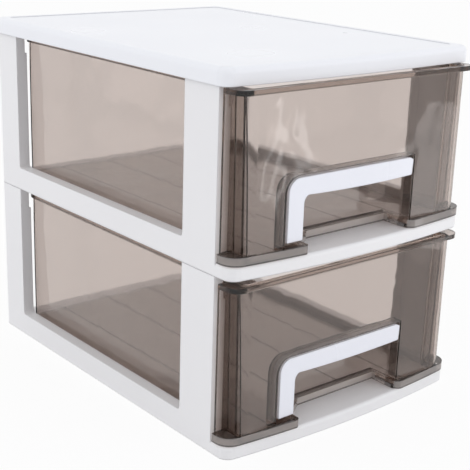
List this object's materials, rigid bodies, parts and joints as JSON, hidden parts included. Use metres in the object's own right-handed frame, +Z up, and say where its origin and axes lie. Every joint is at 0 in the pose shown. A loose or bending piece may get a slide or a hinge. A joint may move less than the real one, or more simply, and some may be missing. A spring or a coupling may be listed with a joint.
{
  "type": "letter tray stack with drawers",
  "caption": "Stacked desktop drawer unit: open-sided white frames under a bowed cover, clear smoke drawers with hook-shaped white pulls.",
  "frame": {"origin": "centre of the bounding box at the surface the unit stands on", "axes": "+X to the right seen from the front, +Y to the back, +Z up; the drawers' fronts face -Y"},
  "size_m": [0.2672, 0.36, 0.3052],
  "materials": {
    "cover_white": "satin moulded white",
    "frame_white": "satin moulded white",
    "smoke_clear": "clear smoke grey-brown, glossy",
    "pull_white": "satin moulded white"
  },
  "bodies": {
    "cabinet": {"lower_frame": "frame_white", "upper_frame": "frame_white", "top_cover": "cover_white"},
    "upper_drawer_body": {"upper_drawer": "smoke_clear", "upper_handle": "pull_white"},
    "lower_drawer_body": {"lower_drawer": "smoke_clear", "lower_handle": "pull_white"}
  },
  "joints": [
    {"name": "upper_drawer_slide", "type": "slide", "parent": "cabinet", "child": "upper_drawer_body", "axis": [0, -1, 0], "range_m": [0, 0.24]},
    {"name": "lower_drawer_slide", "type": "slide", "parent": "cabinet", "child": "lower_drawer_body", "axis": [0, -1, 0], "range_m": [0, 0.24]}
  ]
}
